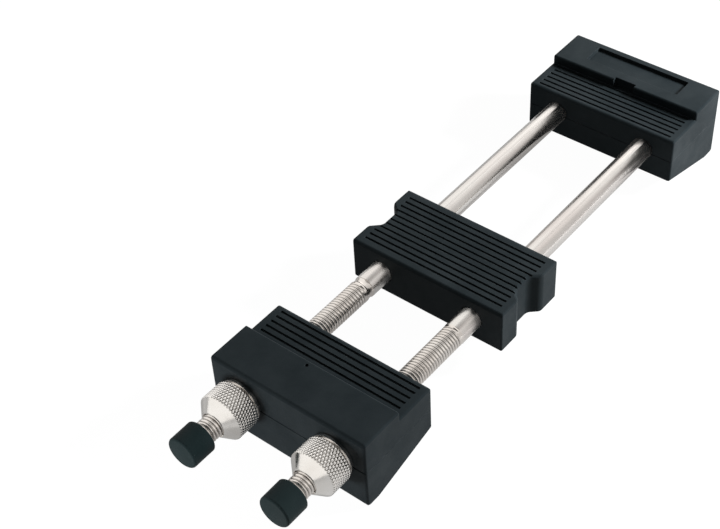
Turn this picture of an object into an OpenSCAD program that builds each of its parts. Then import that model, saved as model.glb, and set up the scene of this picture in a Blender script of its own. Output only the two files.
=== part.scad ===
// Sharpening stone holder: a fixed jaw, a sliding jaw and a loose support block on two rods.
// +X runs along the rods towards the fixed jaw, +Z is up and Z = 0 is the table it stands on.

/* [Blocks] */
// Width of the jaws and of the support block
block_w = 75; // [72:1:85]
// Depth of each jaw block along the rods
jaw_depth = 40; // [39:1:48]
// Depth of the ledge that the stone rests on
ledge_depth = 19.2; // [18:0.2:20]
// Height of the stone's seat above the table
seat_height = 31.5; // [31:0.1:36]
// Height of the jaw above the seat
jaw_rise = 4.2; // [3:0.2:8]
// Height of a jaw block's inner face below the seat
inner_face_h = 22.4; // [21:0.2:24]
// Rounding of the blocks' long top edges
edge_round = 1.5; // [0.8:0.1:1.8]
// Rounding of the upright corners and of the top end edges
corner_round = 0.8; // [0.4:0.1:1.5]
// Rounding of the lower end corners of the jaws
sole_corner_round = 2; // [1:0.2:3]
// Rounding of the long bottom edges
sole_round = 0.6; // [0.4:0.1:1.2]
// Rounding of the bottom outer edge that each jaw stands on
heel_round = 3.2; // [2:0.2:4]
// Width of the flat strip that each jaw stands on
foot_strip = 1.8; // [1:0.2:3]

/* [Support block] */
// Depth of the support block along the rods
support_depth = 38.8; // [37:0.2:44]
// Thickness of the support block
support_h = 20.4; // [19.6:0.2:23]
// Depth of the finger scoop in each end
scoop_depth = 4.2; // [4.2:0.1:4.8]
// Width of the finger scoop at its mouth
scoop_mouth = 16.5; // [15:0.5:19]
// Width of the finger scoop at its floor
scoop_floor = 8.8; // [8.4:0.2:10]

/* [Grip grooves] */
// Distance from one groove to the next
groove_pitch = 3; // [2.8:0.1:3.1]
// Width of a groove
groove_w = 0.95; // [0.6:0.05:1.2]
// Depth of a groove
groove_depth = 0.8; // [0.4:0.1:1.2]
// Margin between a groove's end and the end of the block
groove_margin = 3.3; // [3:0.1:6]
// Number of grooves in each ledge
ledge_grooves = 6; // [4:1:6]
// Number of grooves in the support block
support_grooves = 11; // [9:2:11]

/* [Fixed jaw top] */
// Length of the shallow panel in the top of the fixed jaw
panel_l = 47; // [40:1:56]
// Width of the panel
panel_w = 10.7; // [8:0.1:11]
// Depth of the panel
panel_depth = 1.6; // [0.4:0.1:2]
// Width of the notch in the edge that the stone meets
notch_w = 10.4; // [8:0.4:14]
// Depth of the notch
notch_depth = 2; // [1:0.2:2.4]

/* [Rods and thread] */
// Diameter of the plain rods
rod_d = 10; // [10:0.1:10.2]
// Outside diameter of the thread
thread_d = 9.8; // [9.6:0.1:9.8]
// Distance between the rods' centres
rod_spacing = 45; // [43:1:46]
// Depth of the rods' centres below the seat
rod_drop = 9.9; // [9.8:0.1:10.3]
// Distance from the sliding jaw's inner face to the end of the thread
thread_reach = 34.6; // [30:0.2:45]
// Length of thread showing between a nut and its end cap
thread_showing = 6.3; // [6.2:0.1:12]

/* [Layout] */
// Distance between the two jaws' inner faces
jaw_gap = 175.8; // [160:0.2:190]
// Distance from the sliding jaw to the support block
support_gap = 45.9; // [45.8:0.1:52]

/* [Nuts, washers and caps] */
// Diameter of the knurled nut
nut_d = 20.8; // [20:0.2:22]
// Length of the knurled band
knurl_l = 9.5; // [8:0.1:12]
// Length of the cone at the nut's outer end
cone_l = 4.5; // [3:0.1:6]
// Diameter of the nut's small end
nut_tip_d = 11.6; // [11.4:0.2:14]
// Diameter of the neck between the nut and its washer
nut_neck_d = 16; // [14:0.5:18]
// Length of the neck
nut_neck_l = 1.1; // [0.8:0.1:3]
// Diameter of the washer
washer_d = 19.2; // [18:0.2:22]
// Thickness of the washer
washer_t = 1.4; // [1:0.1:2.5]
// Diameter of the rubber end cap
cap_d = 14; // [13.4:0.2:17]
// Length of the end cap
cap_l = 11.1; // [10.5:0.1:15]

/* [Inside] */
// Length of the steel bar moulded into each jaw
core_l = 64; // [62:1:68]
// Thickness of the steel bars along the rods
core_t = 10; // [8:1:12]
// Height of the steel bars
core_h = 15; // [14.5:0.5:15.5]
// Outside diameter of the guide bushes
bush_d = 12.6; // [12.4:0.1:13]
// Diameter of the roll pin that holds each rod in the fixed jaw
pin_d = 3; // [2.5:0.5:4]

/* [Hidden] */
$fn = 64;
EPS = 0.01;
RUNNING = 0.08;           // radial clearance of the bushes on the rods
THREAD_CLEARANCE = 0.09;  // radial clearance of the nuts on the thread
FACE_GAP = 0.05;          // gap that lets a nut turn against its washer
WASHER_CLEARANCE = 0.5;   // radial clearance of the washers on the rods
JAW_TOP_ROUND = 0.9;      // rounding of the edge that the stone meets
BUSH_INSET = 0.8;         // how far a bush stops short of the faces around it
MOUTH_CLEARANCE = 0.2;    // radial clearance of the rubber around a rod, outside a bush
ROD_TAIL = 1;             // how far a rod runs past the fixed jaw's bar
HOLE_CHAMFER = 0.2;       // chamfer around a rod hole in the rubber
ROD_CHAMFER = 1.2;        // chamfer on a rod's threaded end
RUNOUT_L = 2.4;           // length of the thread's run-out groove
RUNOUT_DEPTH = 0.45;      // depth of the run-out groove below the rod
NUT_CHAMFER = 0.3;        // chamfer where the knurled band begins
NUT_EDGE = 0.25;          // broken edges at the nut's small end
CAP_FLOOR = 3;            // thickness of an end cap's closed end
CAP_DOME = 1.1;           // rounding of an end cap's closed end
CAP_LIP = 0.5;            // chamfer on an end cap's open end
FIRST_GROOVE = 2.9;       // first ledge groove's distance from the inner face
PANEL_MARGIN = 3.7;       // panel's distance from the outer face
SUPPORT_CORE_MARGIN = 7.2; // rubber between the support's core and its ends
SUPPORT_CORE_SKIN = 3.4;  // rubber in front of and behind the support's core
CORE_TO_OUTER = 6.5;      // rubber between a jaw's bar and its outer face
PIN_MARGIN = 1;           // how far a roll pin stops short of the bar's faces
SCOOP_ROUND = 2;          // rounding inside and at the lips of a finger scoop

seat_z = seat_height;
rod_z = seat_z - rod_drop;
rod_y = rod_spacing / 2;
nut_l = nut_neck_l + knurl_l + cone_l;
stack_l = washer_t + FACE_GAP + nut_l + thread_showing + cap_l;
total_l = stack_l + 2 * jaw_depth + jaw_gap;

// X positions, with the whole holder centred on the origin
cap_end_x = -total_l / 2;
fixed_x = total_l / 2 - jaw_depth;
sliding_x = fixed_x - jaw_gap;
support_x = sliding_x + support_gap;
washer_x = sliding_x - jaw_depth - washer_t;
nut_x = washer_x - FACE_GAP;
rod_end_x = cap_end_x + CAP_FLOOR;
thread_end_x = sliding_x + thread_reach;
core_inner = jaw_depth - CORE_TO_OUTER - core_t;
rod_tail_x = fixed_x + core_inner + core_t + ROD_TAIL;

// ---- outlines -------------------------------------------------------------------

function unit(v) = v / norm(v);
function cross_2d(a, b) = a[0] * b[1] - a[1] * b[0];
function to_previous(points, i) = unit(points[(i + len(points) - 1) % len(points)] - points[i]);
function to_next(points, i) = unit(points[(i + 1) % len(points)] - points[i]);
function half_angle(points, i) = acos(to_previous(points, i) * to_next(points, i)) / 2;
function setback(points, radii, i) = radii[i] / tan(half_angle(points, i));
function arc_centre(points, radii, i) =
  points[i]
  + unit(to_previous(points, i) + to_next(points, i)) * radii[i] / sin(half_angle(points, i));
function is_convex(points, i) = cross_2d(to_next(points, i), to_previous(points, i)) > 0;

// Outline through points given anticlockwise, each corner rounded by its own radius
module rounded_outline(points, radii) {
  corners = [for (i = [0 : len(points) - 1]) i];
  difference() {
    union() {
      polygon([
        for (i = corners)
          each radii[i] == 0
            ? [points[i]]
            : [
                points[i] + to_previous(points, i) * setback(points, radii, i),
                points[i] + to_next(points, i) * setback(points, radii, i)
              ]
      ]);
      for (i = corners)
        if (radii[i] > 0 && is_convex(points, i))
          translate(arc_centre(points, radii, i)) circle(r = radii[i]);
    }
    for (i = corners)
      if (radii[i] > 0 && !is_convex(points, i))
        translate(arc_centre(points, radii, i)) circle(r = radii[i]);
  }
}

// Rectangle whose lower corners and upper corners have their own rounding
module rounded_rectangle(low, high, lower_round, upper_round) {
  points = [low, [high[0], low[1]], high, [low[0], high[1]]];
  rounded_outline(points, [lower_round, lower_round, upper_round, upper_round]);
}

// Extrusions of an outline drawn in X and Z, in X and Y, and in Y and Z
module extrude_y(width) {
  rotate([90, 0, 0]) linear_extrude(height = width, center = true) children();
}

module extrude_z(low, high) {
  translate([0, 0, low]) linear_extrude(height = high - low) children();
}

module extrude_x(low, high) {
  translate([low, 0, 0]) rotate([90, 0, 90]) linear_extrude(height = high - low) children();
}

// A cylinder along X between two places
module bar_x(low, high, diameter) {
  translate([low, 0, 0]) rotate([0, 90, 0]) cylinder(h = high - low, d = diameter);
}

module at_left_rod() {
  translate([0, rod_y, rod_z]) children();
}

module at_right_rod() {
  translate([0, -rod_y, rod_z]) children();
}

module at_both_rods() {
  at_left_rod() children();
  at_right_rod() children();
}

// ---- jaws, drawn with the inner face at X = 0 and the outer face at X = jaw_depth ----

// Side outline of the part below the seat, which slopes down to the heel
module jaw_base_outline() {
  foot_x = jaw_depth - heel_round - foot_strip;
  rounded_outline(
    [[0, seat_z - inner_face_h], [foot_x, 0], [jaw_depth, 0], [jaw_depth, seat_z], [0, seat_z]],
    [sole_round, 0, heel_round, 0, edge_round]
  );
}

// Side outline of the jaw above the ledge
module jaw_top_outline() {
  top_z = seat_z + jaw_rise;
  rounded_outline(
    [[ledge_depth, rod_z], [jaw_depth, rod_z], [jaw_depth, top_z], [ledge_depth, top_z]],
    [0, 0, edge_round, JAW_TOP_ROUND]
  );
}

// Rounds a jaw's upright corners and its end edges
module soften_jaw(top_z) {
  intersection() {
    extrude_y(block_w + EPS) children();
    extrude_z(-EPS, top_z + EPS)
      rounded_rectangle([0, -block_w / 2], [jaw_depth, block_w / 2], corner_round, corner_round);
    extrude_x(-EPS, jaw_depth + EPS)
      rounded_rectangle([-block_w / 2, 0], [block_w / 2, top_z], sole_corner_round, corner_round);
  }
}

module groove_row(first_x, count) {
  groove_l = block_w - 2 * groove_margin;
  for (i = [0 : count - 1])
    translate([first_x + i * groove_pitch - groove_w / 2, -groove_l / 2, seat_z - groove_depth])
      cube([groove_w, groove_l, groove_depth + EPS]);
}

module jaw_core_space() {
  translate([core_inner, -core_l / 2, rod_z - core_h / 2]) cube([core_t, core_l, core_h]);
}

// A jaw block with its ledge grooves and with room for its steel bar
module jaw_block() {
  difference() {
    union() {
      soften_jaw(seat_z) jaw_base_outline();
      soften_jaw(seat_z + jaw_rise) jaw_top_outline();
    }
    groove_row(FIRST_GROOVE, ledge_grooves);
    jaw_core_space();
  }
}

module hole_chamfer(diameter) {
  translate([-EPS, 0, 0]) rotate([0, 90, 0])
    cylinder(h = HOLE_CHAMFER, d1 = diameter + 2 * HOLE_CHAMFER, d2 = diameter);
}

// Room for a rod, and for the bush that sits behind a close mouth at each face
module rod_passage(length) {
  bar_x(-EPS, length + EPS, rod_d + 2 * MOUTH_CLEARANCE);
  bar_x(BUSH_INSET, length - BUSH_INSET, bush_d);
}

module fixed_jaw() {
  color("#16191b") translate([fixed_x, 0, 0]) difference() {
    jaw_block();
    at_both_rods() {
      bar_x(-EPS, core_inner + EPS, rod_d);
      bar_x(core_inner + core_t - EPS, core_inner + core_t + ROD_TAIL, rod_d);
      hole_chamfer(rod_d);
    }
    translate([jaw_depth - PANEL_MARGIN - panel_w, -panel_l / 2, seat_z + jaw_rise - panel_depth])
      cube([panel_w, panel_l, panel_depth + EPS]);
    translate([ledge_depth - EPS, -notch_w / 2, seat_z]) cube([notch_depth, notch_w, jaw_rise + EPS]);
  }
}

module fixed_jaw_core() {
  color("#8a8d90") translate([fixed_x, 0, 0]) difference() {
    jaw_core_space();
    at_both_rods() {
      bar_x(core_inner - EPS, core_inner + core_t + EPS, rod_d);
      translate([core_inner + core_t / 2, 0, -core_h / 2 - EPS]) cylinder(h = core_h + 2 * EPS, d = pin_d);
    }
  }
}

module sliding_jaw() {
  color("#16191b") translate([sliding_x, 0, 0]) mirror([1, 0, 0]) difference() {
    jaw_block();
    at_both_rods() rod_passage(jaw_depth);
  }
}

module sliding_jaw_core() {
  color("#8a8d90") translate([sliding_x, 0, 0]) mirror([1, 0, 0]) difference() {
    jaw_core_space();
    at_both_rods() bar_x(core_inner - EPS, core_inner + core_t + EPS, bush_d);
  }
}

// ---- support block, drawn with its near face at X = 0 -----------------------------

// Plan outline with a finger scoop in each end
module support_plan() {
  half = block_w / 2;
  middle = support_depth / 2;
  floor_y = half - scoop_depth;
  rounded_outline(
    [
      [0, -half],
      [middle - scoop_mouth / 2, -half], [middle - scoop_floor / 2, -floor_y],
      [middle + scoop_floor / 2, -floor_y], [middle + scoop_mouth / 2, -half],
      [support_depth, -half], [support_depth, half],
      [middle + scoop_mouth / 2, half], [middle + scoop_floor / 2, floor_y],
      [middle - scoop_floor / 2, floor_y], [middle - scoop_mouth / 2, half],
      [0, half]
    ],
    [
      corner_round, SCOOP_ROUND, SCOOP_ROUND, SCOOP_ROUND, SCOOP_ROUND, corner_round,
      corner_round, SCOOP_ROUND, SCOOP_ROUND, SCOOP_ROUND, SCOOP_ROUND, corner_round
    ]
  );
}

module support_core_space() {
  translate([SUPPORT_CORE_SKIN, -block_w / 2 + SUPPORT_CORE_MARGIN, rod_z - core_h / 2])
    cube([support_depth - 2 * SUPPORT_CORE_SKIN, block_w - 2 * SUPPORT_CORE_MARGIN, core_h]);
}

module support_block() {
  first_groove = (support_depth - (support_grooves - 1) * groove_pitch) / 2;
  color("#16191b") translate([support_x, 0, 0]) difference() {
    intersection() {
      extrude_z(seat_z - support_h, seat_z) support_plan();
      extrude_y(block_w + EPS)
        rounded_rectangle([0, seat_z - support_h], [support_depth, seat_z], sole_round, edge_round);
    }
    groove_row(first_groove, support_grooves);
    support_core_space();
    at_both_rods() rod_passage(support_depth);
  }
}

module support_core() {
  color("#2c2f31") translate([support_x, 0, 0]) difference() {
    support_core_space();
    at_both_rods() bar_x(-EPS, support_depth + EPS, bush_d);
  }
}

// ---- guide bushes -----------------------------------------------------------------

module bush(low, high) {
  color("#d9d6cc") difference() {
    bar_x(low + BUSH_INSET, high - BUSH_INSET, bush_d);
    bar_x(low, high, rod_d + 2 * RUNNING);
  }
}

module left_support_bush() {
  at_left_rod() bush(support_x, support_x + support_depth);
}

module right_support_bush() {
  at_right_rod() bush(support_x, support_x + support_depth);
}

module left_jaw_bush() {
  at_left_rod() bush(sliding_x - jaw_depth, sliding_x);
}

module right_jaw_bush() {
  at_right_rod() bush(sliding_x - jaw_depth, sliding_x);
}

// ---- rods, pins and end caps ------------------------------------------------------

// Half outline of a rod: radius against distance from its threaded end
module rod_outline() {
  plain_r = rod_d / 2;
  thread_r = thread_d / 2;
  thread_l = thread_end_x - rod_end_x;
  rod_l = rod_tail_x - rod_end_x;
  polygon([
    [0, 0], [thread_r - ROD_CHAMFER, 0], [thread_r, ROD_CHAMFER],
    [thread_r, thread_l - RUNOUT_L], [plain_r - RUNOUT_DEPTH, thread_l - RUNOUT_L + RUNOUT_DEPTH],
    [plain_r - RUNOUT_DEPTH, thread_l - RUNOUT_DEPTH], [plain_r, thread_l],
    [plain_r, rod_l], [0, rod_l]
  ]);
}

module rod() {
  color("#cfd0d2") difference() {
    translate([rod_end_x, 0, 0]) rotate([0, 90, 0]) rotate_extrude() rod_outline();
    translate([fixed_x + core_inner + core_t / 2, 0, -rod_d]) cylinder(h = 2 * rod_d, d = pin_d);
  }
}

module left_rod() {
  at_left_rod() rod();
}

module right_rod() {
  at_right_rod() rod();
}

module rod_pin() {
  pin_l = core_h - 2 * PIN_MARGIN;
  color("#6e7174") translate([fixed_x + core_inner + core_t / 2, 0, -pin_l / 2])
    cylinder(h = pin_l, d = pin_d);
}

module left_rod_pin() {
  at_left_rod() rod_pin();
}

module right_rod_pin() {
  at_right_rod() rod_pin();
}

// Half outline of an end cap: radius against distance from its closed end
module cap_outline() {
  cap_r = cap_d / 2;
  bore_r = thread_d / 2;
  rounded_outline(
    [
      [0, 0], [cap_r, 0], [cap_r, cap_l - CAP_LIP], [cap_r - CAP_LIP, cap_l],
      [bore_r, cap_l], [bore_r, CAP_FLOOR + ROD_CHAMFER], [bore_r - ROD_CHAMFER, CAP_FLOOR],
      [0, CAP_FLOOR]
    ],
    [0, CAP_DOME, 0, 0, 0, 0, 0, 0]
  );
}

module end_cap() {
  color("#1b1e20") translate([cap_end_x, 0, 0]) rotate([0, 90, 0]) rotate_extrude() cap_outline();
}

module left_end_cap() {
  at_left_rod() end_cap();
}

module right_end_cap() {
  at_right_rod() end_cap();
}

// ---- washers and knurled nuts -----------------------------------------------------

module washer() {
  color("#d2d0cc") difference() {
    bar_x(washer_x, washer_x + washer_t, washer_d);
    bar_x(washer_x - EPS, washer_x + washer_t + EPS, rod_d + 2 * WASHER_CLEARANCE);
  }
}

module left_washer() {
  at_left_rod() washer();
}

module right_washer() {
  at_right_rod() washer();
}

// Half outline of a nut: radius against distance from its washer
module nut_outline() {
  bore_r = thread_d / 2 + THREAD_CLEARANCE;
  polygon([
    [bore_r, 0], [nut_neck_d / 2, 0], [nut_neck_d / 2, nut_neck_l],
    [nut_d / 2 - NUT_CHAMFER, nut_neck_l], [nut_d / 2, nut_neck_l + NUT_CHAMFER],
    [nut_d / 2, nut_neck_l + knurl_l], [nut_tip_d / 2, nut_l - NUT_EDGE], [nut_tip_d / 2 - NUT_EDGE, nut_l],
    [bore_r + NUT_EDGE, nut_l], [bore_r, nut_l - NUT_EDGE]
  ]);
}

module nut() {
  color("#d4d2ce") translate([nut_x, 0, 0]) rotate([0, -90, 0]) rotate_extrude() nut_outline();
}

module left_nut() {
  at_left_rod() nut();
}

module right_nut() {
  at_right_rod() nut();
}

fixed_jaw();
fixed_jaw_core();
left_rod();
right_rod();
left_rod_pin();
right_rod_pin();
left_end_cap();
right_end_cap();
support_block();
support_core();
left_support_bush();
right_support_bush();
sliding_jaw();
sliding_jaw_core();
left_jaw_bush();
right_jaw_bush();
left_washer();
right_washer();
left_nut();
right_nut();
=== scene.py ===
"""Sharpening stone holder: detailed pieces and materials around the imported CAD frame."""

import math

import bmesh
import bpy
from mathutils import Matrix, Vector


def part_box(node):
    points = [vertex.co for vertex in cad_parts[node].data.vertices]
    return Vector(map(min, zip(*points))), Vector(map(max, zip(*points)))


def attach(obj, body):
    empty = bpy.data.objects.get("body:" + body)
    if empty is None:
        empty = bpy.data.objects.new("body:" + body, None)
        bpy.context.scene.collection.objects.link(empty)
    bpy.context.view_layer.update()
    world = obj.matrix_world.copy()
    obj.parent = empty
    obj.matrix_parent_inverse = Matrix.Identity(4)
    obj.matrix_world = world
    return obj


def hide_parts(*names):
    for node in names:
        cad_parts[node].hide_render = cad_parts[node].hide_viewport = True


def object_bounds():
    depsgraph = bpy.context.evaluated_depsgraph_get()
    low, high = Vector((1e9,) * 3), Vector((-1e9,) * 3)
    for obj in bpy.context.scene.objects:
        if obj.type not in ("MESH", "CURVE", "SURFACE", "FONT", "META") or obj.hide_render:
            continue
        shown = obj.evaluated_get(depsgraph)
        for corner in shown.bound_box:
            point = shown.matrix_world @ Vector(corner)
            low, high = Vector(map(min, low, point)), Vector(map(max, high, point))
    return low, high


MM = 0.001
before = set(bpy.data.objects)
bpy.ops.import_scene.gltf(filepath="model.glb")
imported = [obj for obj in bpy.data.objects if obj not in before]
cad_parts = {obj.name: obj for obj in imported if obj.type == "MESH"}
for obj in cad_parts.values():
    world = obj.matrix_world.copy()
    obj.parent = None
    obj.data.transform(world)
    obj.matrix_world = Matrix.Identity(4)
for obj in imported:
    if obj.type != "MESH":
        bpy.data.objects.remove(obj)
cad_low, cad_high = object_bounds()


# ---- camera -------------------------------------------------------------------------

def make_camera():
    """A camera at the photograph's viewing angle, without depth of field."""
    camera = bpy.data.objects.new("camera", bpy.data.cameras.new("camera"))
    bpy.context.scene.collection.objects.link(camera)
    camera.data.lens = 76.07
    camera.data.sensor_width = 36
    azimuth, elevation, roll = math.radians(-48.77), math.radians(43.69), math.radians(3.67)
    back = Vector((
        math.sin(azimuth) * math.cos(elevation),
        -math.cos(azimuth) * math.cos(elevation),
        math.sin(elevation),
    ))
    target = (cad_low + cad_high) / 2 + Vector((-24.1, 34.9, 0)) * MM
    turn = (-back).to_track_quat("-Z", "Y").to_matrix() @ Matrix.Rotation(-roll, 3, "Z")
    camera.matrix_world = Matrix.Translation(target + back * 634.8 * MM) @ turn.to_4x4()
    camera.data.clip_start = 0.02
    camera.data.clip_end = 20
    bpy.context.scene.camera = camera


make_camera()


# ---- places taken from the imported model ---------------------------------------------

def middle(node):
    """Centre of a CAD node's box."""
    low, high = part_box(node)
    return (low + high) / 2


LEFT_AXIS = middle("left_rod")
RIGHT_AXIS = middle("right_rod")
AXES = {"left": LEFT_AXIS, "right": RIGHT_AXIS}
SEAT_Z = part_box("support_block")[1].z
FIXED_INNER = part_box("fixed_jaw")[0].x
SLIDING_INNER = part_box("sliding_jaw")[1].x


# ---- mesh helpers -------------------------------------------------------------------

def add_object(name, bm):
    """A new object whose mesh is bm, with its faces turned outwards."""
    bmesh.ops.recalc_face_normals(bm, faces=bm.faces)
    mesh = bpy.data.meshes.new(name)
    bm.to_mesh(mesh)
    bm.free()
    obj = bpy.data.objects.new(name, mesh)
    bpy.context.scene.collection.objects.link(obj)
    return obj


def apply_modifiers(obj):
    """Makes the modified mesh the object's own."""
    graph = bpy.context.evaluated_depsgraph_get()
    mesh = bpy.data.meshes.new_from_object(obj.evaluated_get(graph))
    old = obj.data
    obj.modifiers.clear()
    obj.data = mesh
    mesh.name = obj.name
    bpy.data.meshes.remove(old)


def discard(obj):
    """Deletes an object and its mesh."""
    mesh = obj.data
    bpy.data.objects.remove(obj)
    bpy.data.meshes.remove(mesh)


def cut(obj, *cutters):
    """Takes the cutters' shapes out of obj."""
    for cutter in cutters:
        modifier = obj.modifiers.new("cut", "BOOLEAN")
        modifier.operation = "DIFFERENCE"
        modifier.solver = "EXACT"
        modifier.object = cutter
        apply_modifiers(obj)
        discard(cutter)


def bevel_weighted(obj, widest, segments):
    """Rounds the weighted edges; an edge with a weight of 1 is set back by widest."""
    modifier = obj.modifiers.new("bevel", "BEVEL")
    modifier.limit_method = "WEIGHT"
    modifier.width = widest
    modifier.segments = segments
    modifier.use_clamp_overlap = False
    apply_modifiers(obj)


def weight_layer(bm):
    """The edges' bevel weights, made when the mesh has none."""
    layers = bm.edges.layers.float
    return layers.get("bevel_weight_edge") or layers.new("bevel_weight_edge")


def smooth(obj, angle, weighted=True):
    """Smooth shading that keeps edges sharper than angle degrees, and flat faces flat."""
    for polygon in obj.data.polygons:
        polygon.use_smooth = True
    obj.data.set_sharp_from_angle(angle=math.radians(angle))
    if weighted:
        modifier = obj.modifiers.new("normals", "WEIGHTED_NORMAL")
        modifier.keep_sharp = True
        modifier.weight = 80
        apply_modifiers(obj)


def add_prism(bm, outline, low, high, place):
    """Adds a prism; place(a, b, c) puts outline point (a, b) at distance c."""
    rings = [[bm.verts.new(place(a, b, c)) for a, b in outline] for c in (low, high)]
    bm.faces.new(rings[0])
    bm.faces.new(rings[1])
    count = len(outline)
    for i in range(count):
        j = (i + 1) % count
        bm.faces.new((rings[0][i], rings[0][j], rings[1][j], rings[1][i]))
    return rings


def as_plan(a, b, c):
    """A prism's place when its outline lies in X and Y."""
    return a, b, c


def add_box(bm, low, high):
    """Adds a box between two corners."""
    corners = [(low[0], low[1]), (high[0], low[1]), (high[0], high[1]), (low[0], high[1])]
    add_prism(bm, corners, low[2], high[2], as_plan)


def turned(bm, profile, axis, segments, closed=False):
    """Adds a turned shape: profile is (x, radius) points, and axis gives its Y and Z."""
    rings = []
    for x, radius in profile:
        if radius < 1e-9:
            rings.append([bm.verts.new((x, axis.y, axis.z))])
            continue
        rings.append([
            bm.verts.new((
                x,
                axis.y + radius * math.cos(2 * math.pi * i / segments),
                axis.z + radius * math.sin(2 * math.pi * i / segments),
            ))
            for i in range(segments)
        ])
    pairs = list(zip(rings, rings[1:]))
    if closed:
        pairs.append((rings[-1], rings[0]))
    for first, second in pairs:
        for i in range(segments):
            j = (i + 1) % segments
            if len(first) == 1:
                bm.faces.new((first[0], second[i], second[j]))
            elif len(second) == 1:
                bm.faces.new((first[i], first[j], second[0]))
            else:
                bm.faces.new((first[i], first[j], second[j], second[i]))


def arc(centre, radius, start, end, steps):
    """Points on an arc, in degrees, as (x, radius) or any other two coordinates."""
    points = []
    for i in range(steps + 1):
        angle = math.radians(start + (end - start) * i / steps)
        points.append((centre[0] + radius * math.cos(angle), centre[1] + radius * math.sin(angle)))
    return points


# ---- node helpers -------------------------------------------------------------------

class Shader:
    """A material's node tree, with short calls for the nodes that the materials use."""

    def __init__(self, name):
        self.material = bpy.data.materials.new(name)
        self.material.use_nodes = True
        self.tree = self.material.node_tree
        self.surface = self.tree.nodes["Principled BSDF"]
        self.place = self.tree.nodes.new("ShaderNodeTexCoord").outputs["Object"]

    def link(self, source, target):
        self.tree.links.new(source, target)

    def set(self, **values):
        """Sets inputs of the surface, with _ for each space in their names."""
        for key, value in values.items():
            self.surface.inputs[key.replace("_", " ")].default_value = value

    def stretched(self, scale):
        """Object coordinates, multiplied along each axis."""
        mapping = self.tree.nodes.new("ShaderNodeMapping")
        mapping.inputs["Scale"].default_value = scale
        self.link(self.place, mapping.inputs["Vector"])
        return mapping.outputs["Vector"]

    def noise(self, scale, detail=3.0, rough=0.5, vector=None, distortion=0.0):
        """Noise in object coordinates, or in the vector's."""
        node = self.tree.nodes.new("ShaderNodeTexNoise")
        node.inputs["Scale"].default_value = scale
        node.inputs["Detail"].default_value = detail
        node.inputs["Roughness"].default_value = rough
        node.inputs["Distortion"].default_value = distortion
        self.link(vector or self.place, node.inputs["Vector"])
        return node.outputs["Fac"]

    def cells(self, scale):
        """Distance to the nearest of scattered points."""
        node = self.tree.nodes.new("ShaderNodeTexVoronoi")
        node.inputs["Scale"].default_value = scale
        self.link(self.place, node.inputs["Vector"])
        return node.outputs["Distance"]

    def ramp(self, value, *stops):
        """A colour ramp through (position, colour or grey) stops."""
        node = self.tree.nodes.new("ShaderNodeValToRGB")
        elements = node.color_ramp.elements
        while len(elements) < len(stops):
            elements.new(0.5)
        for element, (position, colour) in zip(elements, stops):
            element.position = position
            grey = isinstance(colour, (int, float))
            element.color = (colour, colour, colour, 1) if grey else (*colour, 1)
        self.link(value, node.inputs["Fac"])
        return node.outputs["Color"]

    def mix(self, factor, first, second):
        """Goes from first to second as factor goes from 0 to 1; each is an output or a value."""
        node = self.tree.nodes.new("ShaderNodeMix")
        node.data_type = "RGBA"
        sockets = [s for s in node.inputs if s.enabled]
        for socket, value in zip(sockets, (factor, first, second)):
            if isinstance(value, bpy.types.NodeSocket):
                self.link(value, socket)
            elif isinstance(value, (int, float)):
                socket.default_value = value
            else:
                socket.default_value = (*value, 1)
        return next(s for s in node.outputs if s.enabled)

    def math(self, operation, first, second):
        """Arithmetic on two outputs or numbers."""
        node = self.tree.nodes.new("ShaderNodeMath")
        node.operation = operation
        for socket, value in zip(node.inputs, (first, second)):
            if isinstance(value, bpy.types.NodeSocket):
                self.link(value, socket)
            else:
                socket.default_value = value
        return node.outputs[0]

    def bump(self, height, depth, strength, under=None):
        """Bumps of a depth in metres, on top of other bumps."""
        node = self.tree.nodes.new("ShaderNodeBump")
        node.inputs["Distance"].default_value = depth
        node.inputs["Strength"].default_value = strength
        self.link(height, node.inputs["Height"])
        if under is not None:
            self.link(under, node.inputs["Normal"])
        return node.outputs["Normal"]

    def edges(self, radius):
        """Near 1 on outer edges, and 0 on flat faces."""
        bevel = self.tree.nodes.new("ShaderNodeBevel")
        bevel.samples = 4
        bevel.inputs["Radius"].default_value = radius
        geometry = self.tree.nodes.new("ShaderNodeNewGeometry")
        dot = self.tree.nodes.new("ShaderNodeVectorMath")
        dot.operation = "DOT_PRODUCT"
        self.link(bevel.outputs["Normal"], dot.inputs[0])
        self.link(geometry.outputs["Normal"], dot.inputs[1])
        return self.ramp(self.math("SUBTRACT", 1.0, dot.outputs["Value"]), (0.01, 0.0), (0.12, 1.0))

    def finish(self, colour, roughness, normal):
        """Links the surface's inputs and returns the material."""
        self.link(colour, self.surface.inputs["Base Color"])
        self.link(roughness, self.surface.inputs["Roughness"])
        self.link(normal, self.surface.inputs["Normal"])
        return self.material


# ---- materials ----------------------------------------------------------------------

def rubber(name, dark, light, dust):
    """Moulded black rubber: mottled, finely grained, with a little pale dust and rubbed edges."""
    s = Shader(name)
    mottle = s.noise(45, 4, 0.6)
    colour = s.ramp(mottle, (0.3, dark), (0.72, light))
    rubbed = s.edges(0.45 * MM)
    worn = s.math("MULTIPLY", rubbed, s.ramp(s.noise(260, 3, 0.7), (0.42, 0.0), (0.7, 0.5)))
    colour = s.mix(worn, colour, dust)
    specks = s.ramp(s.cells(330), (0.0, 1.0), (0.06, 0.0))
    rare = s.ramp(s.noise(70, 2), (0.56, 0.0), (0.66, 0.7))
    colour = s.mix(s.math("MULTIPLY", specks, rare), colour, dust)
    roughness = s.ramp(s.noise(120, 3, 0.6), (0.3, 0.42), (0.75, 0.56))
    grain = s.bump(s.noise(2400, 2, 0.6), 0.07 * MM, 0.6)
    normal = s.bump(s.noise(190, 3, 0.5), 0.05 * MM, 0.35, grain)
    s.set(Specular_IOR_Level=0.08, Specular_Tint=(0.7, 0.93, 1.0, 1.0))
    return s.finish(colour, roughness, normal)


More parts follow.
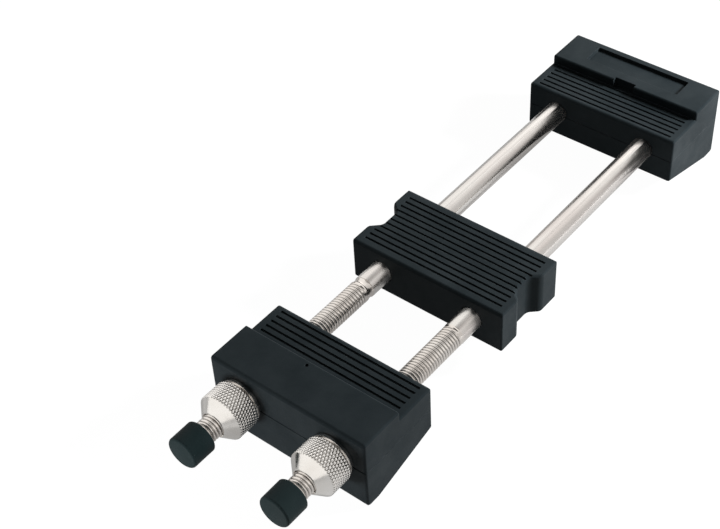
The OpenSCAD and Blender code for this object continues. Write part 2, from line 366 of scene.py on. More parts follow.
def plated(name, base, tint, patch_scale, streak_scale, low_rough, high_rough):
    """Bright nickel plate: fine tool marks, slightly warm patches and faint handling marks."""
    s = Shader(name)
    patches = s.noise(1.0, 3, 0.55, s.stretched(patch_scale))
    colour = s.ramp(patches, (0.32, tint), (0.68, base))
    streaks = s.noise(1.0, 4, 0.65, s.stretched(streak_scale))
    smudges = s.noise(150, 3, 0.6)
    blend = s.mix(0.45, streaks, smudges)
    roughness = s.ramp(blend, (0.35, low_rough), (0.68, high_rough))
    fine = s.bump(streaks, 0.005 * MM, 0.6)
    drawn = s.bump(s.noise(1.0, 3, 0.6, s.stretched((40, 1300, 1300))), 0.005 * MM, 0.6, fine)
    normal = s.bump(s.noise(60, 2, 0.5), 0.012 * MM, 0.35, drawn)
    s.set(Metallic=1.0, Specular_IOR_Level=0.5)
    return s.finish(colour, roughness, normal)


def brush_round(material, amount):
    """Draws reflections out along X, as grinding marks that run round a bar do."""
    tree = material.node_tree
    surface = tree.nodes["Principled BSDF"]
    tangent = tree.nodes.new("ShaderNodeTangent")
    tangent.direction_type = "RADIAL"
    tangent.axis = "X"
    tree.links.new(tangent.outputs["Tangent"], surface.inputs["Tangent"])
    surface.inputs["Anisotropic"].default_value = amount
    surface.inputs["Anisotropic Rotation"].default_value = 0.25


def knurled(name, base, tint, low_rough, high_rough):
    """Bright nickel plate whose valleys are painted dark, partly as dirt and partly as painted shade,
    for knurls and threads.
    """
    s = Shader(name)
    height = s.tree.nodes.new("ShaderNodeAttribute")
    height.attribute_name = "relief"
    relief = height.outputs["Fac"]
    plate = s.ramp(s.noise(90, 3, 0.55), (0.32, tint), (0.68, base))
    # Valley colour: partly dirt, partly painted shade where less light reaches into the grooves.
    valley_grime_and_shade = s.mix(s.noise(240, 3, 0.6), (0.2, 0.19, 0.175), (0.44, 0.42, 0.39))
    colour = s.mix(s.ramp(relief, (0.0, 0.0), (0.6, 1.0)), valley_grime_and_shade, plate)
    turning = s.noise(1.0, 4, 0.65, s.stretched((900, 300, 300)))
    shine = s.ramp(s.mix(0.45, turning, s.noise(150, 3, 0.6)), (0.35, low_rough), (0.68, high_rough))
    roughness = s.mix(s.ramp(relief, (0.0, 0.0), (0.5, 1.0)), (0.4, 0.4, 0.4), shine)
    fine = s.bump(turning, 0.004 * MM, 0.5)
    normal = s.bump(s.noise(60, 2, 0.5), 0.012 * MM, 0.35, fine)
    s.set(Metallic=1.0, Specular_IOR_Level=0.5)
    return s.finish(colour, roughness, normal)


def raw_steel(name):
    """Plain bar steel, drawn and slightly stained, for the pieces moulded inside."""
    s = Shader(name)
    drawn = s.noise(1.0, 4, 0.6, s.stretched((900, 40, 900)))
    stain = s.noise(120, 4, 0.6)
    colour = s.mix(s.ramp(stain, (0.5, 0.0), (0.75, 0.7)), (0.42, 0.42, 0.43), (0.24, 0.2, 0.17))
    roughness = s.ramp(drawn, (0.3, 0.3), (0.7, 0.5))
    s.set(Metallic=1.0)
    return s.finish(colour, roughness, s.bump(drawn, 0.02 * MM, 0.5))


def plastic(name, dark, light, rough):
    """Moulded plastic with faint flow lines and a fine satin grain."""
    s = Shader(name)
    flow = s.noise(1.0, 3, 0.5, s.stretched((60, 240, 240)), 0.4)
    colour = s.ramp(flow, (0.3, dark), (0.7, light))
    roughness = s.ramp(s.noise(300, 3, 0.6), (0.3, rough), (0.7, rough + 0.14))
    s.set(Specular_IOR_Level=0.4)
    return s.finish(colour, roughness, s.bump(s.noise(1800, 2), 0.02 * MM, 0.4))


BLOCK_RUBBER = rubber(
    "block_rubber", (0.0082, 0.0114, 0.0132), (0.0165, 0.021, 0.0234), (0.07, 0.076, 0.08),
)
CAP_RUBBER = rubber(
    "cap_rubber", (0.0066, 0.0116, 0.0124), (0.0126, 0.0186, 0.0194), (0.07, 0.07, 0.066),
)
ROD_NICKEL = plated(
    "rod_nickel", (0.83, 0.81, 0.78), (0.75, 0.70, 0.67), (18, 300, 300), (3200, 100, 100), 0.21, 0.28,
)
brush_round(ROD_NICKEL, 0.85)
THREAD_NICKEL = knurled("thread_nickel", (0.84, 0.80, 0.76), (0.76, 0.70, 0.65), 0.15, 0.28)
NUT_NICKEL = plated(
    "nut_nickel", (0.89, 0.87, 0.84), (0.82, 0.79, 0.75), (90, 90, 90), (900, 300, 300), 0.13, 0.27,
)
KNURL_NICKEL = knurled("knurl_nickel", (0.95, 0.93, 0.90), (0.89, 0.86, 0.83), 0.12, 0.25)
WASHER_NICKEL = plated(
    "washer_nickel", (0.80, 0.78, 0.76), (0.72, 0.69, 0.66), (90, 90, 90), (300, 500, 500), 0.12, 0.22,
)
CORE_STEEL = raw_steel("core_steel")
CORE_PLASTIC = plastic("core_plastic", (0.012, 0.012, 0.013), (0.02, 0.02, 0.021), 0.42)
BUSH_NYLON = plastic("bush_nylon", (0.009, 0.010, 0.011), (0.016, 0.017, 0.018), 0.38)


# ---- rubber blocks ------------------------------------------------------------------

BLOCK_CORNER = 0.8 * MM
LEDGE_DEPTH = 19.2 * MM
LEDGE_GROOVES = 6
SUPPORT_GROOVES = 11
FIRST_LEDGE_GROOVE = 2.9 * MM
GROOVE_STEP = 3 * MM
GROOVE_WIDTH = 0.95 * MM
GROOVE_DEPTH = 0.8 * MM
GROOVE_HALF_LENGTH = 34.2 * MM
PARTING_HEIGHT = 20.25 * MM
CLOSE_HOLE = 5.04 * MM


def block_from_outline(name, outline, corner_setbacks, end_setbacks, low, high, place):
    """A prism whose long edges and end edges are rounded by their own amounts."""
    bm = bmesh.new()
    rings = add_prism(bm, outline, low, high, place)
    layer = weight_layer(bm)
    widest = max(corner_setbacks + end_setbacks)
    count = len(outline)
    for i in range(count):
        upright = bm.edges.get((rings[0][i], rings[1][i]))
        upright[layer] = corner_setbacks[i] / widest
    for ring, setbacks in zip(rings, (end_setbacks[:count], end_setbacks[-count:])):
        for i in range(count):
            edge = bm.edges.get((ring[i], ring[(i + 1) % count]))
            edge[layer] = setbacks[i] / widest
    obj = add_object(name, bm)
    bevel_weighted(obj, widest, 7)
    return obj


def groove_cutter(first_x, step, count):
    """Straight grooves along Y, with rounded floors, cut down from the seat."""
    bm = bmesh.new()
    side, corner, over = GROOVE_WIDTH / 2, 0.28 * MM, 1 * MM
    outline = [(side, over), (-side, over)]
    outline += arc((corner - side, corner - GROOVE_DEPTH), corner, 180, 270, 3)
    outline += arc((side - corner, corner - GROOVE_DEPTH), corner, 270, 360, 3)
    for i in range(count):
        x = first_x + step * i
        add_prism(
            bm, outline, -GROOVE_HALF_LENGTH, GROOVE_HALF_LENGTH,
            lambda a, b, c: (x + a, c, SEAT_Z + b),
        )
    return add_object("grooves", bm)


def parting_cutter(outline, z, depth_for):
    """A narrow V-shaped line round a plan outline given anticlockwise."""
    bm = bmesh.new()
    over = 0.5 * MM
    rows = []
    count = len(outline)
    for i in range(count):
        before, here, after = (Vector(outline[(i + k) % count]) for k in (-1, 0, 1))
        first, second = (here - before).normalized(), (after - here).normalized()
        normal = Vector((first.y + second.y, -first.x - second.x)).normalized()
        depth = depth_for(normal)
        rise = 0.6 * (depth + over)
        tip, far = here - normal * depth, here + normal * over
        rows.append([
            bm.verts.new((tip.x, tip.y, z)),
            bm.verts.new((far.x, far.y, z + rise)),
            bm.verts.new((far.x, far.y, z - rise)),
        ])
    for i in range(count):
        for k in range(3):
            here, after = rows[i], rows[(i + 1) % count]
            bm.faces.new((here[k], here[(k + 1) % 3], after[(k + 1) % 3], after[k]))
    return add_object("parting", bm)


def rounded_plan(low, high, radius):
    """A rectangle with rounded corners, anticlockwise."""
    points = []
    for centre, start in (
        ((low[0] + radius, low[1] + radius), 180),
        ((high[0] - radius, low[1] + radius), 270),
        ((high[0] - radius, high[1] - radius), 0),
        ((low[0] + radius, high[1] - radius), 90),
    ):
        points += arc(centre, radius, start, start + 90, 4)
    return points


def hole_cutter(low, high, radius, chamfer_low, chamfer_high):
    """Round holes along both rods, from low to high, with chamfers where they open."""
    bm = bmesh.new()
    over = 1 * MM
    for axis in AXES.values():
        profile = [(low - (over if chamfer_low else 0), 0)]
        if chamfer_low:
            profile += [(low - over, radius + chamfer_low + over), (low + chamfer_low, radius)]
        else:
            profile += [(low, radius)]
        if chamfer_high:
            profile += [(high - chamfer_high, radius), (high + over, radius + chamfer_high + over)]
        else:
            profile += [(high, radius)]
        profile += [(high + (over if chamfer_high else 0), 0)]
        turned(bm, profile, axis, 64)
    return add_object("holes", bm)


def passage_cutters(low, high):
    """Holes for both rods to slide in, and the wider room for the bushes inside."""
    mouth, chamfer, room, wall = 5.2 * MM, 0.15 * MM, 6.3 * MM, 0.8 * MM
    mouths = hole_cutter(low, high, mouth, chamfer, chamfer)
    return mouths, hole_cutter(low + wall, high - wall, room, 0, 0)


def box_cutter(low, high):
    """A box between two corners."""
    bm = bmesh.new()
    add_box(bm, low, high)
    return add_object("box", bm)


def pocket_cutter(node):
    """The space that a piece moulded inside takes up."""
    low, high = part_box(node)
    return box_cutter(low, high)


def soften_top_cuts(obj, top_levels, width):
    """Breaks the sharp edges that grooves, panels and notches have at the given heights."""
    bm = bmesh.new()
    bm.from_mesh(obj.data)
    layer = weight_layer(bm)
    for edge in bm.edges:
        edge[layer] = 0.0
        if len(edge.link_faces) != 2 or edge.calc_face_angle(0) < math.radians(40):
            continue
        heights = [v.co.z for v in edge.verts]
        if any(all(abs(h - level) < 0.02 * MM for h in heights) for level in top_levels):
            edge[layer] = 1.0
    bm.to_mesh(obj.data)
    bm.free()
    bevel_weighted(obj, width, 2)


def jaw_outline(inner, outward, top):
    """Side outline of a jaw as (x, z), and how far each corner's rounding is set back."""
    jaw_depth, sole_depth, inner_face = 40 * MM, 35 * MM, 22.4 * MM
    points = [
        (0, SEAT_Z - inner_face), (sole_depth, 0), (jaw_depth, 0), (jaw_depth, top),
        (LEDGE_DEPTH, top), (LEDGE_DEPTH, SEAT_Z), (0, SEAT_Z),
    ]
    setbacks = [0.5 * MM, 0, 3.2 * MM, 1.5 * MM, 0.9 * MM, 0.25 * MM, 1.5 * MM]
    return [(inner + outward * x, z) for x, z in points], setbacks


def jaw_blank(node, inner, outward):
    """The jaw's outer form with its ledge grooves."""
    low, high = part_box(node)
    outline, setbacks = jaw_outline(inner, outward, high.z)
    ends = [1.0 * MM, 1.9 * MM, 1.1 * MM, 1.0 * MM, 0.7 * MM, 1.0 * MM, 1.0 * MM]
    obj = block_from_outline(
        node + "_rubber", outline, setbacks, ends, low.y, high.y, lambda a, b, c: (a, c, b),
    )
    first = inner + outward * FIRST_LEDGE_GROOVE
    cut(obj, groove_cutter(first, outward * GROOVE_STEP, LEDGE_GROOVES))
    return obj


def jaw_parting(node, outward, outer_depth, inner_depth, side_depth):
    """The mould's parting line, deeper on the outer face."""
    low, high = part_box(node)

    def depth(normal):
        facing = normal.x * outward
        if facing > 0.5:
            return outer_depth
        return inner_depth if facing < -0.5 else side_depth

    plan = rounded_plan((low.x, low.y), (high.x, high.y), BLOCK_CORNER)
    return parting_cutter(plan, low.z + PARTING_HEIGHT, depth)


def panel_cutter(low, high, level):
    """A shallow panel with sloping walls and rounded corners."""
    bm = bmesh.new()
    slope, depth, over, corner = 0.1 * MM, 1.6 * MM, 0.4 * MM, 0.6 * MM
    rows = []
    for z, grow in ((level + over, slope * 0.5), (level - depth, -slope)):
        plan = rounded_plan((low[0] - grow, low[1] - grow), (high[0] + grow, high[1] + grow), corner)
        rows.append([bm.verts.new((x, y, z)) for x, y in plan])
    bm.faces.new(rows[0])
    bm.faces.new(rows[1])
    count = len(rows[0])
    for i in range(count):
        j = (i + 1) % count
        bm.faces.new((rows[0][i], rows[0][j], rows[1][j], rows[1][i]))
    return add_object("panel", bm)


def vent_cutter(x, y, z, radius, depth):
    """A small pit that a mould vent leaves."""
    bm = bmesh.new()
    bmesh.ops.create_cone(
        bm, cap_ends=True, segments=16, radius1=radius * 0.75, radius2=radius, depth=2 * depth,
        matrix=Matrix.Translation((x, y, z)),
    )
    return add_object("vent", bm)


def make_fixed_jaw():
    """The fixed jaw, with a panel in its top, a notch in its edge and close holes for the rods."""
    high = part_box("fixed_jaw")[1]
    obj = jaw_blank("fixed_jaw", FIXED_INNER, 1)
    panel_end, panel_width, panel_half = high.x - 3.7 * MM, 10.7 * MM, 23.5 * MM
    panel = panel_cutter((panel_end - panel_width, -panel_half), (panel_end, panel_half), high.z)
    edge, notch_depth, notch_half = FIXED_INNER + LEDGE_DEPTH, 2 * MM, 5.2 * MM
    notch = box_cutter(
        (edge - 3 * MM, -notch_half, SEAT_Z + 0.02 * MM),
        (edge + notch_depth, notch_half, high.z + 1 * MM),
    )
    cut(obj, panel, notch)
    soften_top_cuts(obj, (SEAT_Z, high.z), 0.16 * MM)
    core_low, core_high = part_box("fixed_jaw_core")
    overlap, tail = 0.2 * MM, 1.05 * MM
    holes = hole_cutter(FIXED_INNER, core_low.x + overlap, CLOSE_HOLE, 0.2 * MM, 0)
    tails = hole_cutter(core_high.x - overlap, core_high.x + tail, CLOSE_HOLE, 0, 0)
    line = jaw_parting("fixed_jaw", 1, 0.6 * MM, 0.35 * MM, 0.12 * MM)
    cut(obj, holes, tails, line, pocket_cutter("fixed_jaw_core"))
    finish_block(obj, "rod_frame", "fixed_jaw")


def make_sliding_jaw():
    """The sliding jaw, with a mould vent in its top and passages for the rods."""
    low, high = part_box("sliding_jaw")
    obj = jaw_blank("sliding_jaw", SLIDING_INNER, -1)
    vent = vent_cutter(SLIDING_INNER - 21.6 * MM, 4.7 * MM, high.z, 0.85 * MM, 2 * MM)
    cut(obj, vent)
    soften_top_cuts(obj, (SEAT_Z, high.z), 0.14 * MM)
    line = jaw_parting("sliding_jaw", -1, 0.7 * MM, 0.35 * MM, 0.25 * MM)
    cut(obj, *passage_cutters(low.x, high.x), line, pocket_cutter("sliding_jaw_core"))
    finish_block(obj, "slider", "sliding_jaw")


def support_outline():
    """Plan outline with a finger scoop in each end, and each corner's setback."""
    low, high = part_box("support_block")
    half, middle_x = high.y, (low.x + high.x) / 2
    floor_y, mouth, floor = half - 4.2 * MM, 8.25 * MM, 4.4 * MM
    one_end = [
        (low.x, -half), (middle_x - mouth, -half), (middle_x - floor, -floor_y),
        (middle_x + floor, -floor_y), (middle_x + mouth, -half), (high.x, -half),
    ]
    other_end = [(2 * middle_x - x, -y) for x, y in one_end]
    setbacks = [BLOCK_CORNER, 1.7 * MM, 2.0 * MM, 2.0 * MM, 1.7 * MM, BLOCK_CORNER] * 2
    return one_end + other_end, setbacks


def make_support_block():
    """The support block, grooved on top, with passages for the rods."""
    low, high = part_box("support_block")
    outline, setbacks = support_outline()
    below = [0.6 * MM] * len(outline)
    above = ([0.75 * MM] + [1.3 * MM] * 3 + [0.75 * MM, 1.5 * MM]) * 2
    obj = block_from_outline(
        "support_block_rubber", outline, setbacks, below + above, low.z, high.z, as_plan,
    )
    first = (low.x + high.x) / 2 - (SUPPORT_GROOVES - 1) / 2 * GROOVE_STEP
    cut(obj, groove_cutter(first, GROOVE_STEP, SUPPORT_GROOVES))
    soften_top_cuts(obj, (high.z,), 0.14 * MM)
    cut(obj, *passage_cutters(low.x, high.x), pocket_cutter("support_core"))
    finish_block(obj, "support", "support_block")


def finish_block(obj, body, node):
    """Gives a rubber block its material and shading, ties it to its body and hides the CAD node it
    stands for.
    """
    obj.data.materials.append(BLOCK_RUBBER)
    smooth(obj, 32)
    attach(obj, body)
    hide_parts(node)


# ---- rods ---------------------------------------------------------------------------

SHANK_RADIUS = 4.995 * MM
THREAD_RADIUS = 4.9 * MM
THREAD_REACH = 34.6 * MM
THREAD_PITCH = 1.5 * MM
THREAD_STEPS = 56
# Places along one pitch, as shares of it, and how deep the thread is there in millimetres
THREAD_SHAPE = (
    (0.00, 0.07), (0.07, 0.02), (0.16, 0.00), (0.25, 0.02), (0.32, 0.07),
    (0.50, 0.42), (0.58, 0.50), (0.66, 0.53), (0.74, 0.50), (0.82, 0.42),
)
THREAD_DEPTH = max(depth for _, depth in THREAD_SHAPE) * MM


def add_thread(bm, axis, start, end, radius, stop_angle):
    """Adds a helical surface from start to end, whose groove stops short of end at stop_angle."""
    turns = int(math.ceil((end - start) / THREAD_PITCH)) + 3
    last = (turns - 3) * THREAD_STEPS
    last += int(round(stop_angle / 360 * THREAD_STEPS)) - THREAD_STEPS
    fade = THREAD_STEPS // 7
    first_x = start - 1.5 * THREAD_PITCH
    while first_x + THREAD_PITCH * (last / THREAD_STEPS + 0.9) > end - 0.25 * MM:
        last -= THREAD_STEPS
    rows = []
    for t in range(turns * THREAD_STEPS + 1):
        angle = 2 * math.pi * t / THREAD_STEPS
        share = min(1.0, max(0.0, (last - t) / fade))
        cos, sin = math.cos(angle), math.sin(angle)
        row = []
        for u, depth in THREAD_SHAPE:
            x = first_x + THREAD_PITCH * (t / THREAD_STEPS + u)
            r = radius - depth * MM * share
            row.append(bm.verts.new((x, axis.y + r * cos, axis.z + r * sin)))
        rows.append(row)
    points = len(THREAD_SHAPE)
    for t in range(len(rows) - 1):
        for k in range(points - 1):
            bm.faces.new((rows[t][k], rows[t + 1][k], rows[t + 1][k + 1], rows[t][k + 1]))
        if t + THREAD_STEPS + 1 < len(rows):
            after = rows[t + THREAD_STEPS], rows[t + THREAD_STEPS + 1]
            bm.faces.new((rows[t][-1], rows[t + 1][-1], after[1][0], after[0][0]))


def clip(bm, x, keep_above):
    """Cuts the mesh at a plane across X, and returns the cut edges."""
    geometry = bm.verts[:] + bm.edges[:] + bm.faces[:]
    result = bmesh.ops.bisect_plane(
        bm, geom=geometry, dist=1e-8, plane_co=(x, 0, 0), plane_no=(1, 0, 0),
        clear_inner=keep_above, clear_outer=not keep_above,
    )
    return [g for g in result["geom_cut"] if isinstance(g, bmesh.types.BMEdge)]


def extend(bm, edges, axis, profile):
    """Carries an open ring on through (x, radius) places, keeping each point's angle."""
    for x, radius in profile:
        new = bmesh.ops.extrude_edge_only(bm, edges=edges)["geom"]
        edges = [g for g in new if isinstance(g, bmesh.types.BMEdge) and g.is_boundary]
        for vert in {v for e in edges for v in e.verts}:
            away = Vector((0, vert.co.y - axis.y, vert.co.z - axis.z)).normalized()
            vert.co = Vector((x, axis.y, axis.z)) + away * radius
    return edges


def mark_groove(obj, axis, thread_end):
    """Stores how far each point stands above the thread's floor, for the dirt and painted shade in the
    groove.
    """
    heights = []
    for vert in obj.data.vertices:
        radius = math.hypot(vert.co.y - axis.y, vert.co.z - axis.z)
        height = (radius - THREAD_RADIUS + THREAD_DEPTH) / THREAD_DEPTH
        heights.append(min(1.0, max(0.0, height)) if vert.co.x < thread_end - 0.02 * MM else 1.0)
    layer = obj.data.attributes.new("relief", "FLOAT", "POINT")
    layer.data.foreach_set("value", heights)


def make_rod(side, stop_angle, relief_length):
    """A rod with a rolled thread, which ends in a turned relief or runs out, and a plain shank."""
    axis = AXES[side]
    low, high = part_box(side + "_rod")
    shank = SLIDING_INNER + THREAD_REACH
    thread_end = shank - max(relief_length, 0.3 * MM)
    bm = bmesh.new()
    add_thread(bm, axis, low.x, thread_end, THREAD_RADIUS, stop_angle)
    near = clip(bm, low.x + 0.9 * MM, True)
    far = clip(bm, thread_end, False)
    near = extend(bm, near, axis, [(low.x + 0.5 * MM, 4.05 * MM), (low.x, 3.6 * MM)])
    bmesh.ops.edgenet_fill(bm, edges=near)
    relief = []
    if relief_length:
        relief += [(thread_end + 0.15 * MM, 4.86 * MM), (thread_end + 0.5 * MM, 4.64 * MM)]
        relief += [(thread_end + 0.9 * MM, 4.58 * MM), (shank - 0.3 * MM, 4.6 * MM)]
        relief += [(shank - 0.12 * MM, 4.66 * MM)]
    relief += [(shank - 0.02 * MM, 4.95 * MM), (shank + 0.12 * MM, SHANK_RADIUS)]
    relief += [(high.x - 0.4 * MM, SHANK_RADIUS), (high.x, 4.6 * MM)]
    far = extend(bm, far, axis, relief)
    bmesh.ops.edgenet_fill(bm, edges=far)
    bmesh.ops.remove_doubles(bm, verts=bm.verts, dist=1e-7)
    bmesh.ops.dissolve_degenerate(bm, dist=1e-7, edges=bm.edges)
    obj = add_object(side + "_rod_nickel", bm)
    drill, pin_hole = bmesh.new(), 1.51 * MM
    bmesh.ops.create_cone(
        drill, cap_ends=True, segments=32, radius1=pin_hole, radius2=pin_hole, depth=12 * MM,
        matrix=Matrix.Translation(middle(side + "_rod_pin")),
    )
    cut(obj, add_object("drill", drill))
    obj.data.materials.append(ROD_NICKEL)
    obj.data.materials.append(THREAD_NICKEL)
    for polygon in obj.data.polygons:
        polygon.material_index = 1 if polygon.center.x < shank else 0
    mark_groove(obj, axis, thread_end)
    smooth(obj, 50, weighted=False)
    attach(obj, "rod_frame")
    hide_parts(side + "_rod")


# ---- nuts, washers, caps and bushes -------------------------------------------------

# Diamonds round the nut, the distance between their rows, and the flat share of each diamond
KNURLS = 48
KNURL_ROW = 1.34 * MM
KNURL_FLAT = 0.56


def knurl_height(a, b):
    """Height above the valleys at a place on the diamond grid, 0 to 1, with blunted tops."""
    first, second = (a + b) / 2, (a - b) / 2
    slopes = [abs(value - round(value)) for value in (first, second)]
    return min(2 * min(slopes) / (1 - KNURL_FLAT), 1.0)


def add_knurl(bm, low, high, valley, depth):
    """Adds flat rows of blunt diamonds: X along the nut, Y the angle in degrees, Z the radius."""
    step = 360 / (2 * KNURLS)
    rows = int(math.ceil((high - low) / KNURL_ROW)) + 2
    start = (low + high) / 2 - rows // 2 * KNURL_ROW
    relief = bm.verts.layers.float.new("relief")
    cache = {}

    def vert(a, b):
        key = round(a * 100), round(b * 100)
        if key not in cache:
            height = knurl_height(a, b)
            cache[key] = bm.verts.new((start + b * KNURL_ROW, a * step, valley + depth * height))
            cache[key][relief] = height
        return cache[key]

    for a in range(2 * KNURLS):
        for b in range(-1, rows + 1):
            if (a + b) % 2 == 0:
                continue
            sides = ((a - 1, b), (a, b - 1), (a + 1, b), (a, b + 1))
            tops = [(a + (x - a) * KNURL_FLAT, b + (y - b) * KNURL_FLAT) for x, y in sides]
            for k in range(4):
                m = (k + 1) % 4
                bm.faces.new((vert(*sides[k]), vert(*sides[m]), vert(*tops[m]), vert(*tops[k])))
            bm.faces.new([vert(*t) for t in tops])


def clip_slope(bm, point, normal):
    """Cuts the flat knurl along a sloping plane, and returns the cut edges."""
    geometry = bm.verts[:] + bm.edges[:] + bm.faces[:]
    result = bmesh.ops.bisect_plane(
        bm, geom=geometry, dist=1e-9, plane_co=point, plane_no=normal, clear_outer=True,
    )
    return [g for g in result["geom_cut"] if isinstance(g, bmesh.types.BMEdge)]


def extend_flat(bm, edges, profile):
    """Carries an open row on through (x, radius) places, keeping each point's angle."""
    relief = bm.verts.layers.float["relief"]
    for x, radius in profile:
        new = bmesh.ops.extrude_edge_only(bm, edges=edges)["geom"]
        verts = {g for g in new if isinstance(g, bmesh.types.BMVert)}
        edges = [g for g in new if isinstance(g, bmesh.types.BMEdge) and set(g.verts) <= verts]
        for vert in verts:
            vert.co.x, vert.co.z = x, radius
            vert[relief] = 1.0


def roll_up(bm, axis, washer_end):
    """Rolls the flat rows round the axis; their X runs outwards from the washer."""
    for vert in bm.verts:
        x, angle, radius = vert.co
        turn = math.radians(angle)
        vert.co = Vector((
            washer_end - x, axis.y + radius * math.cos(turn), axis.z + radius * math.sin(turn),
        ))
    smallest = 0.002 * MM
    bmesh.ops.remove_doubles(bm, verts=bm.verts, dist=smallest)
    bmesh.ops.dissolve_degenerate(bm, dist=smallest, edges=bm.edges)


def round_diamonds(obj):
    """Shades each diamond as a rounded pad, and leaves the valleys between diamonds sharp."""
    bm = bmesh.new()
    bm.from_mesh(obj.data)
    for edge in bm.edges:
        if all(face.material_index == 0 for face in edge.link_faces):
            edge.smooth = edge.calc_face_angle(0) < math.radians(62)
    bm.to_mesh(obj.data)
    bm.free()


def make_nut(side):
    """A thumb nut with a diamond knurl, a neck behind it and a cone in front."""
    axis = AXES[side]
    low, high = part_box(side + "_nut")
    length = high.x - low.x
    neck, band, radius, tip = 1.1 * MM, 9.5 * MM, 10.4 * MM, 5.8 * MM
    depth, bore = 0.42 * MM, 4.99 * MM
    bm = bmesh.new()
    add_knurl(bm, neck, neck + band, radius - depth - 0.02 * MM, depth)
    slope = (radius - tip) / (length - neck - band)
    front = clip_slope(bm, (neck + band, 0, radius), (slope, 0, 1))
    back = clip_slope(bm, (neck + 0.3 * MM, 0, radius), (-1, 0, 1))
    extend_flat(bm, front, [
        (length - 0.3 * MM, tip + 0.3 * MM * slope), (length - 0.1 * MM, tip + 0.02 * MM),
        (length, tip - 0.14 * MM), (length, bore + 0.42 * MM), (length - 0.55 * MM, bore),
        (length / 2, bore),
    ])
    extend_flat(bm, back, [
        (neck - 0.05 * MM, radius - 0.85 * MM), (neck - 0.05 * MM, 8.3 * MM), (neck - 0.3 * MM, 8 * MM),
        (0.2 * MM, 8 * MM), (0, 7.8 * MM), (0, bore + 0.3 * MM), (0.3 * MM, bore), (length / 2, bore),
    ])
    roll_up(bm, axis, high.x)
    bmesh.ops.bridge_loops(bm, edges=[e for e in bm.edges if e.is_boundary])
    obj = add_object(side + "_nut_nickel", bm)
    obj.data.materials.append(KNURL_NICKEL)
    obj.data.materials.append(NUT_NICKEL)
    knurl_end = high.x - neck - band - 0.6 * MM
    for polygon in obj.data.polygons:
        polygon.material_index = 1 if polygon.center.x < knurl_end else 0
    smooth(obj, 24, weighted=False)
    round_diamonds(obj)
    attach(obj, side + "_nut")
    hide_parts(side + "_nut")


def make_turned(name, side, node, body, material, profile, closed=False):
    """A turned piece that stands for one CAD node; its profile is in X and radius."""
    bm = bmesh.new()
    turned(bm, profile, AXES[side], 80, closed)
    obj = add_object(name, bm)
    obj.data.materials.append(material)
    smooth(obj, 36)
    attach(obj, body)
    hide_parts(node)


def tube_profile(low, high, inner, outer, rim):
    """A tube's outline with all four rims rounded."""
    return (
        arc((low + rim, outer - rim), rim, 180, 90, 3)
        + arc((high - rim, outer - rim), rim, 90, 0, 3)
        + arc((high - rim, inner + rim), rim, 0, -90, 3)
        + arc((low + rim, inner + rim), rim, 270, 180, 3)
    )


def make_washer(side):
    """A flat washer, on the sliding jaw's outer face."""
    node = side + "_washer"
    low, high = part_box(node)
    profile = [(low.x, 5.5 * MM), (low.x, 9.56 * MM), (low.x + 0.03 * MM, 9.6 * MM)]
    profile += [(high.x - 0.2 * MM, 9.6 * MM), (high.x, 9.4 * MM), (high.x, 5.5 * MM)]
    make_turned(
        node + "_nickel", side, node, "slider", WASHER_NICKEL, profile, closed=True,
    )


def make_cap(side):
    """A rubber cap on a rod's threaded end."""
    node = side + "_end_cap"
    low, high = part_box(node)
    profile = [(low.x, 0), (low.x + 0.05 * MM, 3 * MM), (low.x + 0.16 * MM, 5 * MM)]
    profile += arc((low.x + 1.2 * MM, 5.95 * MM), 1.03 * MM, 180, 96, 6)
    profile += [(high.x - 0.55 * MM, 7 * MM)]
    profile += arc((high.x - 0.5 * MM, 6.5 * MM), 0.5 * MM, 80, 0, 4)
    profile += [(high.x, 5.3 * MM), (high.x - 0.35 * MM, 4.92 * MM), (low.x + 4.2 * MM, 4.92 * MM)]
    profile += [(low.x + 3 * MM, 3.7 * MM), (low.x + 3 * MM, 0)]
    make_turned(node + "_rubber", side, node, "rod_frame", CAP_RUBBER, profile)


def make_bush(side, block, body):
    """A plastic guide sleeve, inside the sliding jaw or the support block."""
    node = side + "_" + block + "_bush"
    low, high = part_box(node)
    profile = tube_profile(low.x, high.x, 5.08 * MM, 6.28 * MM, 0.3 * MM)
    make_turned(node + "_nylon", side, node, body, BUSH_NYLON, profile, closed=True)


# ---- inner pieces kept from the CAD model -------------------------------------------

def dress(node, material):
    """Gives a CAD node its material."""
    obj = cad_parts[node]
    obj.data.materials.clear()
    obj.data.materials.append(material)


# ---- surroundings -------------------------------------------------------------------

def floor_material():
    """A pale matt floor, evenly white to look at and in reflections, that bounces little light."""
    s = Shader("pale_floor")
    s.tree.nodes.remove(s.surface)
    tone = s.noise(3, 2)
    rays = s.tree.nodes.new("ShaderNodeLightPath")

    def matt(low, high):
        """A matt surface between two greys."""
        node = s.tree.nodes.new("ShaderNodeBsdfDiffuse")
        s.link(s.ramp(tone, (0.3, low), (0.7, high)), node.inputs["Color"])
        return node.outputs[0]

    def lifted(strength, low, high):
        """A matt surface with some white added."""
        glow = s.tree.nodes.new("ShaderNodeEmission")
        glow.inputs["Strength"].default_value = strength
        both = s.tree.nodes.new("ShaderNodeAddShader")
        s.link(matt(low, high), both.inputs[0])
        s.link(glow.outputs[0], both.inputs[1])
        return both.outputs[0]

    def choose(ray, otherwise, surface):
        """The surface for one kind of ray, and otherwise another."""
        mix = s.tree.nodes.new("ShaderNodeMixShader")
        s.link(rays.outputs[ray], mix.inputs[0])
        s.link(otherwise, mix.inputs[1])
        s.link(surface, mix.inputs[2])
        return mix.outputs[0]

    reflected = choose("Is Glossy Ray", matt(0.18, 0.21), lifted(0.36, 0.17, 0.2))
    seen = choose("Is Camera Ray", reflected, lifted(0.98, 0.045, 0.055))
    s.link(seen, s.tree.nodes["Material Output"].inputs["Surface"])
    return s.material


def make_floor():
    """A wide floor under the holder."""
    bm = bmesh.new()
    reach, thickness = 4, 0.02
    add_box(bm, (-reach, -reach, -thickness), (reach, reach, cad_low.z))
    floor = add_object("floor", bm)
    floor.data.materials.append(floor_material())


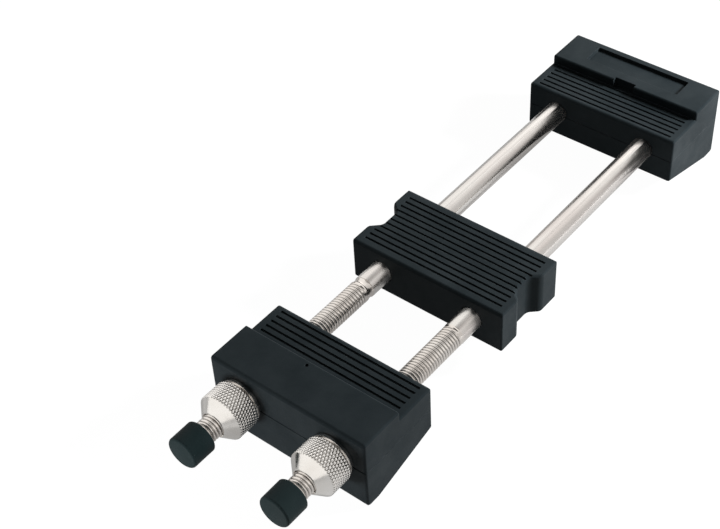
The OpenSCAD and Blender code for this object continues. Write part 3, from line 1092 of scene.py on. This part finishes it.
def soft_box(name, node, offset, size, power):
    """A round soft box aimed at a node from one side, which does not show in the plating."""
    light = bpy.data.objects.new(name, bpy.data.lights.new(name, "AREA"))
    light.data.shape = "DISK"
    light.data.size = size
    light.data.energy = power
    light.location = middle(node) + Vector(offset)
    light.rotation_mode = "QUATERNION"
    light.rotation_quaternion = (-Vector(offset)).to_track_quat("-Z", "Y")
    light.visible_glossy = False
    bpy.context.scene.collection.objects.link(light)


def make_world():
    """A white dome with darker and brighter parts, which lights matt surfaces less than it shines."""
    world = bpy.data.worlds.new("room")
    world.use_nodes = True
    bpy.context.scene.world = world
    tree = world.node_tree
    background = tree.nodes["Background"]
    background.inputs["Color"].default_value = (1.0, 0.985, 0.965, 1)
    ray = tree.nodes.new("ShaderNodeTexCoord").outputs["Generated"]

    def ranged(value, start, end, low, high):
        """Goes smoothly from low to high as value goes from start to end."""
        node = tree.nodes.new("ShaderNodeMapRange")
        node.interpolation_type = "SMOOTHSTEP"
        for socket, number in zip(node.inputs[1:5], (start, end, low, high)):
            socket.default_value = number
        tree.links.new(value, node.inputs["Value"])
        return node.outputs[0]

    def around(direction, start, end, high):
        """Goes from 1 to high as the angle's cosine goes from start to end."""
        node = tree.nodes.new("ShaderNodeVectorMath")
        node.operation = "DOT_PRODUCT"
        node.inputs[1].default_value = Vector(direction).normalized()
        tree.links.new(ray, node.inputs[0])
        return ranged(node.outputs["Value"], start, end, 1.0, high)

    rays = tree.nodes.new("ShaderNodeLightPath")
    shown = tree.nodes.new("ShaderNodeMath")
    tree.links.new(rays.outputs["Is Glossy Ray"], shown.inputs[0])
    tree.links.new(rays.outputs["Is Camera Ray"], shown.inputs[1])
    strength = ranged(shown.outputs[0], 0, 1, 0.13, 1.05)
    for part in (
        around((-0.25, -0.2, 0.95), 0.76, 0.93, 0.05),  # dark overhead
        around((0.5, 0.85, 0.02), 0.955, 0.99, 0.25),  # dark low down, beyond the left rod
        around((0.54, -0.82, 0.1), 0.55, 0.96, 0.64),  # greyer on the right
        around((0.8, 0.3, 0.52), 0.94, 0.995, 1.6),  # brighter beyond the fixed jaw
    ):
        node = tree.nodes.new("ShaderNodeMath")
        node.operation = "MULTIPLY"
        tree.links.new(strength, node.inputs[0])
        tree.links.new(part, node.inputs[1])
        strength = node.outputs[0]
    tree.links.new(strength, background.inputs["Strength"])


def make_surroundings():
    """The floor, the dome and two soft boxes: a key, and a low one for the sliding jaw."""
    make_floor()
    make_world()
    soft_box("key", "fixed_jaw", (0.25, -0.38, 0.3), 0.16, 11.2)
    soft_box("low", "sliding_jaw", (-0.16, 0.03, 0.0), 0.03, 0.25)
    bpy.context.scene.view_settings.view_transform = "Standard"


# ---- the holder ---------------------------------------------------------------------

def make_holder():
    """Makes every piece, and gives the CAD pieces that are kept their materials."""
    make_fixed_jaw()
    make_sliding_jaw()
    make_support_block()
    for side, stop_angle, relief_length in (("left", 150, 3.2 * MM), ("right", 135, 0)):
        make_rod(side, stop_angle, relief_length)
        make_nut(side)
        make_washer(side)
        make_cap(side)
        make_bush(side, "support", "support")
        make_bush(side, "jaw", "slider")
        dress(side + "_rod_pin", CORE_STEEL)
    dress("fixed_jaw_core", CORE_STEEL)
    dress("sliding_jaw_core", CORE_STEEL)
    dress("support_core", CORE_PLASTIC)


make_holder()
make_surroundings()
